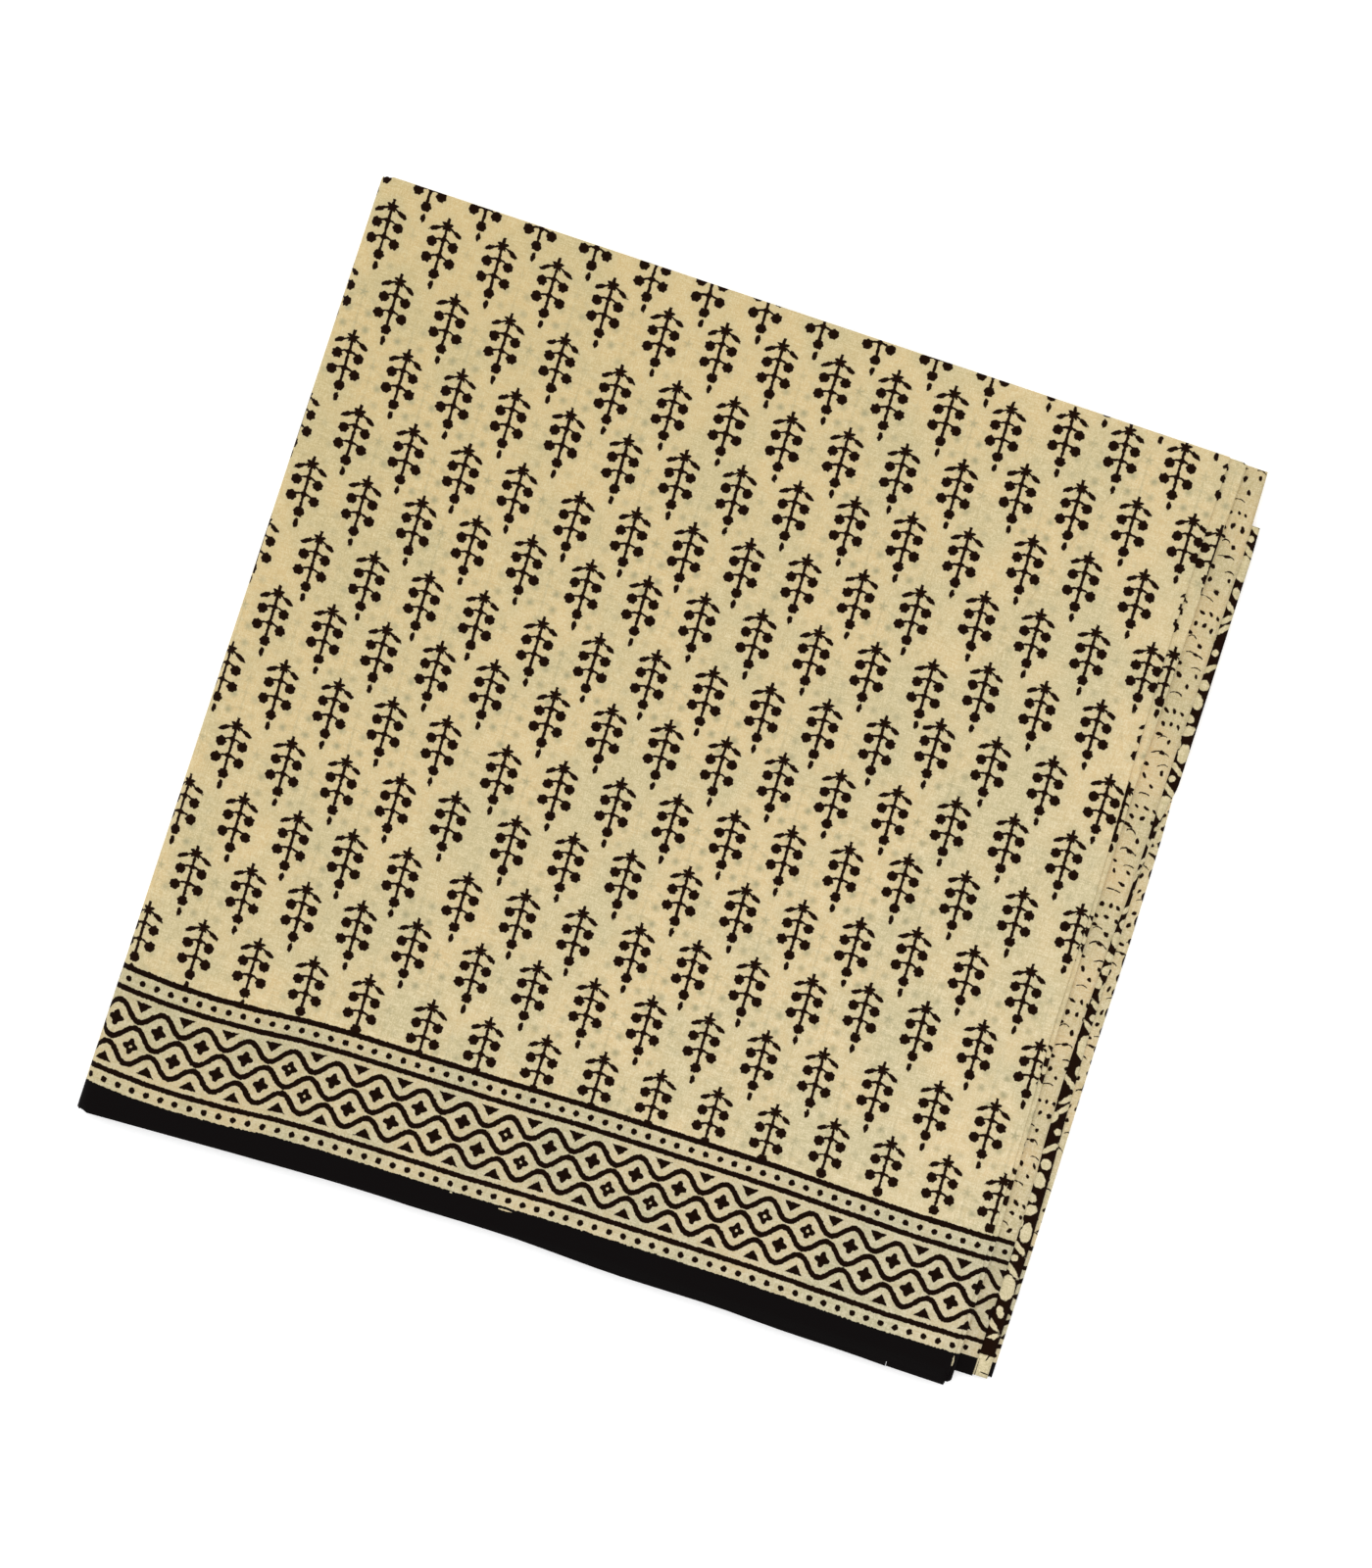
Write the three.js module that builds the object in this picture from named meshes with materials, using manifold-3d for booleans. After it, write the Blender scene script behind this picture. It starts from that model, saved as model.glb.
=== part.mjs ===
// Cotton saree, folded for storage: half across its width, then down its length to twelve doubled
// layers. Millimetres, +Z up. The selvedges face -Y, the fold along mid-width faces +Y, and the free
// ends show at +X. The origin is under the middle of the pile, on the surface that it rests on.

import * as THREE from "three";
import { mergeVertices } from "three/addons/utils/BufferGeometryUtils.js";
import Module from "manifold-3d";

const wasm = await Module();
wasm.setup();

// The pile
const layerCount = 12;
const wall = 1; // one doubled layer of cloth
const gap = 0.3; // air between layers that are solids of their own
const pitch = wall + gap;
const pileLength = 575; // half of the 1150 mm wide cloth
const pileWidth = 559;
const bandDepth = 62; // how far in from the right edges the loose stretches are built
const bond = 0.03; // the hidden layers run this far into each other

// Where each stretch ends on the right, measured from the left turn; a row for each distance
// from the mid-width fold
const rightEdges = [
  { fromFold: 0, first: 521.6, second: 533.8, blouse: 546.2, pallu: 552.5, lower: 550.6 },
  { fromFold: 100, first: 523.4, second: 531.5, blouse: 547.0, pallu: 554.2, lower: 551.8 },
  { fromFold: 200, first: 525.2, second: 530.4, blouse: 547.4, pallu: 554.4, lower: 553.6 },
  { fromFold: 300, first: 529.0, second: 530.6, blouse: 547.0, pallu: 553.0, lower: 556.0 },
  { fromFold: 400, first: 530.8, second: 532.0, blouse: 546.6, pallu: 552.8, lower: 555.6 },
  { fromFold: 475, first: 533.3, second: 534.4, blouse: 547.0, pallu: 555.0, lower: 557.8 },
  { fromFold: 575, first: 533.8, second: 535.2, blouse: 547.5, pallu: 557.4, lower: 559.0 },
];

// How far the selvedges lie from the mid-width fold, by distance from the left turn
const selvedgeLine = [
  { fromLeft: 0, fromFold: 575.0 },
  { fromLeft: 95, fromFold: 571.0 },
  { fromLeft: 185, fromFold: 567.8 },
  { fromLeft: 270, fromFold: 567.6 },
  { fromLeft: 435, fromFold: 569.2 },
  { fromLeft: 559, fromFold: 570.0 },
];

// How far each layer falls short of those lines: at its selvedges on the left and on the right,
// and at its fold on the left and on the right
const layerSteps = [
  { layer: 1, front: 0.0, frontRight: 3.6, back: 0.0, backRight: 2.8 },
  { layer: 2, front: 0.9, frontRight: 0.0, back: 1.0, backRight: 3.4 },
  { layer: 3, front: 2.0, frontRight: 2.4, back: 0.3, backRight: 2.4 },
  { layer: 4, front: 0.7, frontRight: 4.2, back: 1.4, backRight: 3.8 },
  { layer: 5, front: 2.3, frontRight: 5.6, back: 0.5, backRight: 2.7 },
  { layer: 6, front: 1.0, frontRight: 8.0, back: 1.7, backRight: 3.6 },
  { layer: 7, front: 2.1, frontRight: 9.8, back: 0.4, backRight: 4.2 },
  { layer: 8, front: 0.8, frontRight: 10.6, back: 1.2, backRight: 3.2 },
  { layer: 9, front: 2.4, frontRight: 12.4, back: 0.2, backRight: 2.6 },
  { layer: 10, front: 1.1, frontRight: 11.6, back: 1.5, backRight: 3.9 },
  { layer: 11, front: 2.2, frontRight: 13.0, back: 0.6, backRight: 2.9 },
  { layer: 12, front: 0.6, frontRight: 12.6, back: 0.1, backRight: 2.2 },
];
const palluShort = 30; // the end with the pallu starts this much further from the mid-width fold

// The pile's height where the layers are pressed, as a share of the full height
const pressed = { backLeft: 1.0, backRight: 0.95, frontLeft: 0.9, frontRight: 0.84, crown: 0.03 };

// How a layer's wall ends: the selvedges taper a little, and the mid-width fold is round
const selvedgeTaper = { inset: 3, share: 0.7 };
const foldNose = [
  { inset: 1.6, share: 1.0 },
  { inset: 0.7, share: 0.84 },
  { inset: 0.15, share: 0.5 },
  { inset: 0, share: 0.24 },
];

const tongueTip = [0.1, 0.35, 0.65, 0.88, 1]; // the innermost layers' round end, as shares of its height

// Faces: steps along a layer, round a turn and across the cloth
const runSteps = 9;
const hiddenSteps = 7;
const bandSteps = 2;
const smallTurnSteps = 8;
const bigTurnSteps = 12;
const acrossSteps = 7;

const paint = {
  field: { color: 0xdfca95, roughness: 0.88, metalness: 0 },
  pallu: { color: 0x2b1a12, roughness: 0.88, metalness: 0 },
  selvedge: { color: 0xa99d78, roughness: 0.9, metalness: 0 },
};

const { lerp, clamp } = THREE.MathUtils;
const heart = (layerCount + 1) / 2; // the middle of the innermost pair of layers
const heightOf = (layer) => (layerCount - layer) * pitch + wall / 2;

// A column of a table, read at a place between its rows
function readTable(table, key, place, column) {
  const next = table.findIndex((entry) => entry[key] > place);
  const row = next < 0 ? table.length - 1 : Math.max(next, 1);
  const low = table[row - 1];
  const high = table[row];
  const share = clamp((place - low[key]) / (high[key] - low[key]), 0, 1);
  return lerp(low[column], high[column], share);
}

const edgeAt = (name) => (fromFold) => readTable(rightEdges, "fromFold", fromFold, name);
const bandStart = () => pileWidth - bandDepth;

// The two ends of a layer across the cloth, as distances from the mid-width fold line
function layerEnds(layer, fromLeft, short) {
  const right = clamp(fromLeft / pileWidth, 0, 1);
  const step = (column) => readTable(layerSteps, "layer", layer, column);
  const front = readTable(selvedgeLine, "fromLeft", fromLeft, "fromFold");
  return {
    front: front - lerp(step("front"), step("frontRight"), right),
    back: lerp(step("back"), step("backRight"), right) + short,
  };
}

// Places across a layer, from its selvedges to its fold, with the share of the wall left there
function placesAcross({ front, back }) {
  const start = front - selvedgeTaper.inset;
  const end = back + foldNose[0].inset;
  const places = [{ fromFold: front, share: selvedgeTaper.share }];
  for (let step = 0; step < acrossSteps; step += 1) {
    places.push({ fromFold: lerp(start, end, step / acrossSteps), share: 1 });
  }
  for (const { inset, share } of foldNose) {
    places.push({ fromFold: back + inset, share });
  }
  return places;
}

// A straight stretch of the wall's middle line. Stretches that run left face up, the others down.
function run(layer, from, to, steps) {
  const up = from(0) > to(0) ? 1 : -1;
  return Array.from({ length: steps + 1 }, (_, step) => ({
    layer,
    x: (fromFold) => lerp(from(fromFold), to(fromFold), step / steps),
    z: heightOf(layer),
    out: { x: 0, z: up },
  }));
}

// A half turn of the middle line. Every turn of the cloth goes the same way round.
function turn(fromLayer, toLayer, centre, firstAngle, steps) {
  const radius = Math.abs(heightOf(fromLayer) - heightOf(toLayer)) / 2;
  const middle = (heightOf(fromLayer) + heightOf(toLayer)) / 2;
  return Array.from({ length: steps + 1 }, (_, step) => {
    const angle = firstAngle + (Math.PI * step) / steps;
    const out = { x: Math.cos(angle), z: Math.sin(angle) };
    return {
      layer: lerp(fromLayer, toLayer, step / steps),
      x: (fromFold) => centre(fromFold) + radius * out.x,
      z: middle + radius * out.z,
      out,
    };
  });
}

const turnRadius = (layerA, layerB) => Math.abs(heightOf(layerA) - heightOf(layerB)) / 2;

// A turn on the right whose outer face lies on an edge
function rightTurn(fromLayer, toLayer, edge) {
  const reach = turnRadius(fromLayer, toLayer) + wall / 2;
  const centre = (fromFold) => edge(fromFold) - reach;
  return { centre, stations: turn(fromLayer, toLayer, centre, -Math.PI / 2, smallTurnSteps) };
}

// Every left turn shares the outermost one's centre, so the layers nest
const leftCentre = () => turnRadius(1, layerCount) + wall / 2;
const leftTurn = (upper, lower) => turn(upper, lower, leftCentre, Math.PI / 2, bigTurnSteps);

// One path out of its stretches, without the stations that two of them share
function joinStretches(...stretches) {
  const same = (a, b) => Math.abs(a.z - b.z) < bond && Math.abs(a.x(0) - b.x(0)) < bond;
  return stretches.flat().filter((station, index, all) => index === 0 || !same(station, all[index - 1]));
}

// The pile is lower where it is pressed flat
function settle(fromLeft, fromFold, height) {
  const right = fromLeft / pileWidth;
  const front = fromFold / pileLength;
  const back = lerp(pressed.backLeft, pressed.backRight, right);
  const near = lerp(pressed.frontLeft, pressed.frontRight, right);
  const bulge = pressed.crown * 4 * right * (1 - right);
  return height * (lerp(back, near, front) + bulge);
}

// Closed wall of cloth along a path: a loop round the wall at each station, joined to the next
function clothGeometry(path, { outer = wall / 2, inner = wall / 2, short = 0 } = {}) {
  const points = [];
  let loopLength = 0;
  for (const station of path) {
    const ends = layerEnds(station.layer, station.x(pileLength / 2), short);
    const places = placesAcross(ends);
    const faceOut = station.outer ?? outer;
    const faceIn = station.inner ?? inner;
    const loop = [
      ...places.map((place) => ({ ...place, side: faceOut })),
      ...places.toReversed().map((place) => ({ ...place, side: -faceIn })),
    ];
    loopLength = loop.length;
    for (const { fromFold, share, side } of loop) {
      const fromLeft = station.x(fromFold) + station.out.x * side * share;
      const height = station.z + station.out.z * side * share;
      points.push(fromLeft - pileWidth / 2, pileLength / 2 - fromFold, settle(fromLeft, fromFold, height));
    }
  }
  return closeLoops(points, loopLength);
}

// Joins loops of points into one closed solid, with a strip of quads over each end
function closeLoops(points, loopLength) {
  const triangles = [];
  const quad = (a, b, c, d) => triangles.push(a, b, c, a, c, d);
  const loopCount = points.length / 3 / loopLength;
  for (let loop = 0; loop < loopCount - 1; loop += 1) {
    for (let place = 0; place < loopLength; place += 1) {
      const next = (place + 1) % loopLength;
      const start = loop * loopLength;
      const end = start + loopLength;
      quad(start + place, start + next, end + next, end + place);
    }
  }
  const lastLoop = (loopCount - 1) * loopLength;
  for (let place = 0; place < loopLength / 2 - 1; place += 1) {
    const across = loopLength - 1 - place;
    quad(place, across, across - 1, place + 1);
    quad(lastLoop + place, lastLoop + place + 1, lastLoop + across - 1, lastLoop + across);
  }
  const geometry = new THREE.BufferGeometry();
  geometry.setAttribute("position", new THREE.Float32BufferAttribute(points, 3));
  geometry.setIndex(triangles);
  return geometry;
}

function clothMesh(name, geometry, look) {
  const mesh = new THREE.Mesh(geometry, new THREE.MeshStandardMaterial(look));
  geometry.computeVertexNormals();
  mesh.name = name;
  return mesh;
}

// The outermost stretch goes all round the pile: a short return under the top layer, the top layer,
// the left turn, the underside and the turn of the lowest fold with its short return
function outerStretch() {
  const top = rightTurn(2, 1, edgeAt("first"));
  const bottom = rightTurn(layerCount, 9, edgeAt("lower"));
  return joinStretches(
    run(2, bandStart, top.centre, bandSteps),
    top.stations,
    run(1, top.centre, leftCentre, runSteps),
    leftTurn(1, layerCount),
    run(layerCount, leftCentre, bottom.centre, runSteps),
    bottom.stations,
    run(9, bottom.centre, bandStart, bandSteps),
  );
}

// A fold whose turn shows on the right: two layers of the band, joined by the turn
function rightFold(lowerLayer, upperLayer, edge) {
  const bend = rightTurn(lowerLayer, upperLayer, edge);
  return joinStretches(
    run(lowerLayer, bandStart, bend.centre, bandSteps),
    bend.stations,
    run(upperLayer, bend.centre, bandStart, bandSteps),
  );
}

const insideOf = (edge) => (fromFold) => edge(fromFold) - pitch;
const freeEnd = (layer, edge) => run(layer, edge, bandStart, bandSteps);

// The two layers at the heart of the pile lie together, as one tongue with a round left end
function heartPath(end) {
  const half = pitch / 2 + wall / 2;
  const tip = tongueTip.map((share) => ({
    layer: heart,
    x: () => leftCentre() - half * Math.sqrt(1 - share * share),
    z: heightOf(heart),
    out: { x: 0, z: -1 },
    outer: half * share,
    inner: half * share,
  }));
  const body = run(heart, leftCentre, end, hiddenSteps);
  return joinStretches(tip, body.map((station) => ({ ...station, outer: half, inner: half })));
}

// The hidden layers, 2 to 11, fused where they touch, with each layer's own edges
function hiddenLayers() {
  const end = () => bandStart() - gap;
  const toSolid = (geometry) => {
    const merged = mergeVertices(geometry);
    const mesh = new wasm.Mesh({
      numProp: 3,
      vertProperties: new Float32Array(merged.attributes.position.array),
      triVerts: new Uint32Array(merged.index.array),
    });
    return new wasm.Manifold(mesh);
  };
  let solid = toSolid(clothGeometry(heartPath(end)));
  for (let upper = 2; upper < layerCount / 2; upper += 1) {
    const lower = layerCount + 1 - upper;
    const path = joinStretches(
      run(upper, end, leftCentre, hiddenSteps),
      leftTurn(upper, lower),
      run(lower, leftCentre, end, hiddenSteps),
    );
    solid = solid.add(toSolid(clothGeometry(path, { inner: wall / 2 + gap + bond })));
  }
  const { vertProperties, triVerts } = solid.getMesh();
  const geometry = new THREE.BufferGeometry();
  geometry.setAttribute("position", new THREE.Float32BufferAttribute(vertProperties, 3));
  geometry.setIndex(Array.from(triVerts));
  return geometry;
}

const saree = new THREE.Group();
saree.add(
  clothMesh("outer_stretch", clothGeometry(outerStretch()), paint.field),
  clothMesh("second_fold", clothGeometry(rightFold(6, 3, edgeAt("second"))), paint.field),
  clothMesh("second_fold_inner", clothGeometry(rightFold(5, 4, insideOf(edgeAt("second")))), paint.field),
  clothMesh("blouse_end", clothGeometry(freeEnd(7, edgeAt("blouse"))), paint.field),
  clothMesh("pallu_end", clothGeometry(freeEnd(8, edgeAt("pallu")), { short: palluShort }), paint.pallu),
  clothMesh("lower_fold_inner", clothGeometry(rightFold(11, 10, insideOf(edgeAt("lower")))), paint.field),
  clothMesh("hidden_layers", hiddenLayers(), paint.selvedge),
);

// The origin goes under the middle of the whole pile
const reach = new THREE.Box3().setFromObject(saree);
const middle = reach.getCenter(new THREE.Vector3());
saree.position.set(-middle.x, -middle.y, -reach.min.z);

export default saree;
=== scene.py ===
# Folded cotton saree with a black block print: twelve doubled layers, laid flat
import math
import bpy
import numpy as np
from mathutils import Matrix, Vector, noise


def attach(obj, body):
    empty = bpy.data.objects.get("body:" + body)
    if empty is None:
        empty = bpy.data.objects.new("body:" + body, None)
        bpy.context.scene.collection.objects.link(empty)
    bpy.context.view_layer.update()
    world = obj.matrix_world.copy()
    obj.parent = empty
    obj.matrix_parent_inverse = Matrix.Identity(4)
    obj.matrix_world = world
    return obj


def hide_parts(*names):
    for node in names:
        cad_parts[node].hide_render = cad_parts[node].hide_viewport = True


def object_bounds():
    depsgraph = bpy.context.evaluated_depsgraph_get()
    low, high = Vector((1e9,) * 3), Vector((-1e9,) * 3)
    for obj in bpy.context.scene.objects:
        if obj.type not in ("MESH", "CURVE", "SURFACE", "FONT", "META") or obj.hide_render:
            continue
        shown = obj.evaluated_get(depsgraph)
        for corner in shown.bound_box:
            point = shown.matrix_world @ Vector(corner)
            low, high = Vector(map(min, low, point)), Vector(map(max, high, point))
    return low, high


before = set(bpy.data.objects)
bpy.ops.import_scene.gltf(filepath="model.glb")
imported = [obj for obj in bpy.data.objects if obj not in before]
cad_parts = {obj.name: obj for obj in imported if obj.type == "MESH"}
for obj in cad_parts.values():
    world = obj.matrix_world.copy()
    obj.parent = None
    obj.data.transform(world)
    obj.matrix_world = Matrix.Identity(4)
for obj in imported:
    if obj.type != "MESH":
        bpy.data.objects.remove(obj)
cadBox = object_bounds()
scene = bpy.context.scene

# All sizes of the cloth are in millimetres, and places on it are given as fromLeft, from the left turn
# of the pile, and fromFold, from the fold along the middle of the cloth's width
mm = 0.001
pile = {
    "layers": 12,
    "pitch": 1.3,          # one doubled layer and the air over it
    "wall": 1.0,           # one doubled layer
    "length": 575.0,       # half of the cloth's width
    "width": 559.0,
    "bandDepth": 62.0,     # how far the loose stretches reach in from the right edges
    "palluShort": 32.0,    # the pallu starts this much further from the fold
    "plyThick": 0.28,      # one thickness of the cotton
    "plyApart": 0.325,     # from the middle of a doubled layer to the middle of a ply
    "backLeft": 1.0, "backRight": 0.95, "frontLeft": 0.9, "frontRight": 0.84, "crown": 0.03,
}


def table(columns, *rows):
    return [dict(zip(columns.split(), row)) for row in rows]


# Where each stretch ends on the right, a row for each distance from the fold
rightEdges = table("fromFold first second blouse pallu lower",
    (0, 522.6, 533.8, 547.0, 551.8, 544.6), (54, 522.5, 532.2, 548.7, 553.9, 547.0),
    (130, 522.9, 531.5, 548.2, 554.6, 550.8), (195, 524.8, 530.5, 547.2, 555.0, 554.2),
    (226, 526.0, 530.7, 547.4, 549.4, 555.9), (268, 527.5, 531.0, 547.0, 549.5, 556.8),
    (290, 528.2, 531.2, 545.6, 550.2, 557.4), (350, 528.4, 532.1, 544.4, 550.8, 557.4),
    (405, 530.6, 534.0, 544.8, 553.4, 558.2), (434, 531.5, 535.0, 546.7, 555.0, 558.8),
    (475, 532.7, 536.3, 547.6, 556.6, 559.4), (575, 533.6, 536.8, 548.0, 557.0, 560.0),
)

# How far the selvedges lie from the fold
selvedgeLine = table("fromLeft fromFold",
    (0, 575.0), (95, 571.0), (185, 567.8), (270, 567.6), (435, 569.2), (559, 570.0),
)

# How far each layer falls short of those lines, left and right
layerSteps = table("layer front frontRight back backRight",
    (1, 0.0, 3.6, 0.0, 2.8), (2, 0.9, 0.0, 1.0, 3.4), (3, 2.0, 2.4, 0.3, 2.9), (4, 0.7, 4.2, 1.4, 3.8),
    (5, 2.3, 5.6, 0.5, 2.7), (6, 1.0, 8.0, 1.7, 3.6), (7, 2.1, 9.8, 0.4, 2.8),
    (8, 0.8, 10.6, 1.2, 3.2), (9, 2.4, 12.4, 0.2, 2.6), (10, 1.1, 11.6, 1.5, 3.9),
    (11, 2.2, 13.0, 0.6, 2.9), (12, 0.6, 12.6, 0.1, 2.2),
)


def readTable(table, key, place, column):
    return float(np.interp(place, [row[key] for row in table], [row[column] for row in table]))


def mix(start, end, share):
    return start + (end - start) * share


def heightOf(layer):
    return (pile["layers"] - layer) * pile["pitch"] + pile["wall"] / 2


def edgeOf(name):
    return lambda fromFold: readTable(rightEdges, "fromFold", fromFold, name)


bandStart = pile["width"] - pile["bandDepth"]
leftCentre = abs(heightOf(1) - heightOf(pile["layers"])) / 2 + pile["wall"] / 2


# Camera: straight above, turned a little against the cloth
camera = {"turn": 18.2, "height": 1.5237, "aside": (0.7, 4.3), "lens": 60.0}
eye = bpy.data.objects.new("camera", bpy.data.cameras.new("camera"))
scene.collection.objects.link(eye)
eye.data.lens = camera["lens"]
eye.data.sensor_width = 36.0
eye.location = (camera["aside"][0] * mm, camera["aside"][1] * mm, cadBox[1].z + camera["height"])
eye.rotation_euler = (0, 0, math.radians(camera["turn"]))
scene.camera = eye
print("camera stands")


def srgb(text):
    parts = [int(text[i : i + 2], 16) / 255 for i in (1, 3, 5)]
    return tuple([p / 12.92 if p <= 0.04045 else ((p + 0.055) / 1.055) ** 2.4 for p in parts] + [1.0])


# Adds a node with its settings and what goes into it: values, other nodes or their sockets
def addNode(tree, kind, *inputs, sockets=None, **settings):
    node = tree.nodes.new(kind)
    for name, value in settings.items():
        setattr(node, name, value)
    enabled = [socket for socket in node.inputs if socket.enabled]
    wanted = list(zip(enabled, inputs)) + [(node.inputs[k], v) for k, v in (sockets or {}).items()]
    for socket, value in wanted:
        if value is None:
            continue
        if isinstance(value, bpy.types.Node):
            value = value.outputs[0]
        if isinstance(value, bpy.types.NodeSocket):
            tree.links.new(value, socket)
        else:
            socket.default_value = value
    return node


def newGroup(name, inputs, outputs, kind="ShaderNodeTree"):
    tree = bpy.data.node_groups.new(name, kind)
    for label, socketType in inputs:
        tree.interface.new_socket(label, in_out="INPUT", socket_type=socketType)
    for label, socketType in outputs:
        tree.interface.new_socket(label, in_out="OUTPUT", socket_type=socketType)
    return tree, tree.nodes.new("NodeGroupInput")


# One step of arithmetic between nodes
def calc(tree, operation, *inputs):
    return addNode(tree, "ShaderNodeMath", *inputs, operation=operation)


# A value's place between two limits, carried over to two others
def ramp(tree, *inputs):
    return addNode(tree, "ShaderNodeMapRange", *inputs)


def blend(tree, share, under, over, **settings):
    node = addNode(tree, "ShaderNodeMix", share, under, over, data_type="RGBA", **settings)
    return node.outputs["Result"]


def lengthOf(tree, place):
    return addNode(tree, "ShaderNodeVectorMath", place, operation="LENGTH").outputs["Value"]


# A place as seen from an oval's middle, where its rim is 1 away
def ovalPlace(tree, place, oval):
    turned = (0, 0, math.radians(oval["turn"]))
    return addNode(tree, "ShaderNodeMapping", place, (oval["x"], oval["y"], 0), turned,
                   (oval["long"], oval["wide"], 1), vector_type="TEXTURE")


# Fine noise that moves an inked edge in and out by up to reach
def frayOf(tree, where, scale, reach):
    grain = addNode(tree, "ShaderNodeTexNoise", sockets={"Vector": where, "Scale": scale, "Detail": 2.0})
    return calc(tree, "MULTIPLY_ADD", grain, 2 * reach, -reach)


# One sprig of the block, in millimetres from its star: a stem with two leaves, five berries and a tail
sprig = {
    "stem": 0.78, "stemTop": -4.4, "stemFoot": 27.0,
    "star": 1.6, "starPoint": 3.5,
    "ovals": table(  # on the right half, with teeth round the rim
        "x y long wide turn teeth",
        (7.0, 3.4, 3.1, 1.3, 28, 0), (6.5, 11.3, 2.75, 2.7, 10, 7), (7.0, 21.0, 2.8, 2.75, 0, 7),
        (0.0, 29.1, 2.65, 2.8, 90, 7), (0.0, 35.8, 1.35, 2.4, 0, 0), (0.0, 8.6, 1.75, 1.5, 0, 0),
        (0.0, 18.4, 1.8, 1.5, 0, 0),
    ),
    "tooth": 0.95,
    "twigs": table(  # where they leave the stem, how they bend, and how far they reach
        "y bend reach",
        (0.8, 0.075, 4.8), (8.3, 0.06, 4.8), (18.2, 0.05, 4.8),
    ),
    "twig": 0.58,
}


# How far a point is outside the ink of a sprig, in millimetres, less than 0 inside
def sprigShape():
    tree, given = newGroup("sprigShape", [("Place", "NodeSocketVector")], [("Outside", "NodeSocketFloat")])
    place = addNode(tree, "ShaderNodeSeparateXYZ", given)
    sideways = calc(tree, "ABSOLUTE", place)
    down = place.outputs[1]
    folded = addNode(tree, "ShaderNodeCombineXYZ", sideways, down)
    beyond = calc(tree, "SUBTRACT", down, (sprig["stemFoot"] + sprig["stemTop"]) / 2)
    beyond = calc(tree, "ABSOLUTE", beyond)
    beyond = calc(tree, "SUBTRACT", beyond, (sprig["stemFoot"] - sprig["stemTop"]) / 2)
    stem = calc(tree, "SUBTRACT", sideways, sprig["stem"])
    ink = calc(tree, "MAXIMUM", stem, beyond)
    # The star has five points, one of them up the stem
    around = calc(tree, "ARCTAN2", sideways, down)
    points = calc(tree, "PINGPONG", around, math.pi / 5)
    away = lengthOf(tree, folded)
    star = calc(tree, "MULTIPLY_ADD", points, -sprig["starPoint"], away)
    star = calc(tree, "SUBTRACT", star, sprig["star"])
    ink = calc(tree, "MINIMUM", ink, star)
    for oval in sprig["ovals"]:
        inside = ovalPlace(tree, folded, oval)
        away = lengthOf(tree, inside)
        least = min(oval["long"], oval["wide"])
        rim = calc(tree, "MULTIPLY_ADD", away, least, -least)
        if oval["teeth"]:
            apart = addNode(tree, "ShaderNodeSeparateXYZ", inside)
            around = calc(tree, "ARCTAN2", apart, apart.outputs[1])
            teeth = calc(tree, "PINGPONG", around, math.pi / oval["teeth"])
            rim = calc(tree, "MULTIPLY_ADD", teeth, -sprig["tooth"], rim)
        ink = calc(tree, "SMOOTH_MIN", ink, rim, 0.4)
    for twig in sprig["twigs"]:
        square = calc(tree, "MULTIPLY", sideways, sideways)
        arch = calc(tree, "MULTIPLY_ADD", square, twig["bend"], twig["y"])
        off = calc(tree, "SUBTRACT", down, arch)
        off = calc(tree, "ABSOLUTE", off)
        off = calc(tree, "SUBTRACT", off, sprig["twig"])
        beyond = calc(tree, "SUBTRACT", sideways, twig["reach"])
        off = calc(tree, "MAXIMUM", off, beyond)
        ink = calc(tree, "MINIMUM", ink, off)
    addNode(tree, "NodeGroupOutput", ink)
    return tree


# The printed border, in millimetres below its first line: dots, lines, three waves, four-lobed
# flowers and buds. What lies under its middle repeats what lies over it, half a repeat further on.
border = {
    "repeat": 26.4, "middle": 36.1, "wave": 4.4, "waveWide": 1.42, "waveUp": 12.7,
    "line": 1.35, "firstLine": 1.45, "lineUp": 24.2, "dotsUp": 30.1, "dot": 1.6,
    "flowerUp": 6.5, "flower": 3.6, "petal": 0.85, "hollow": 1.1,
    "budUp": 17.0, "budHalf": 4.7, "budHigh": 5.2,
    "band": 70.2,
}


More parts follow.
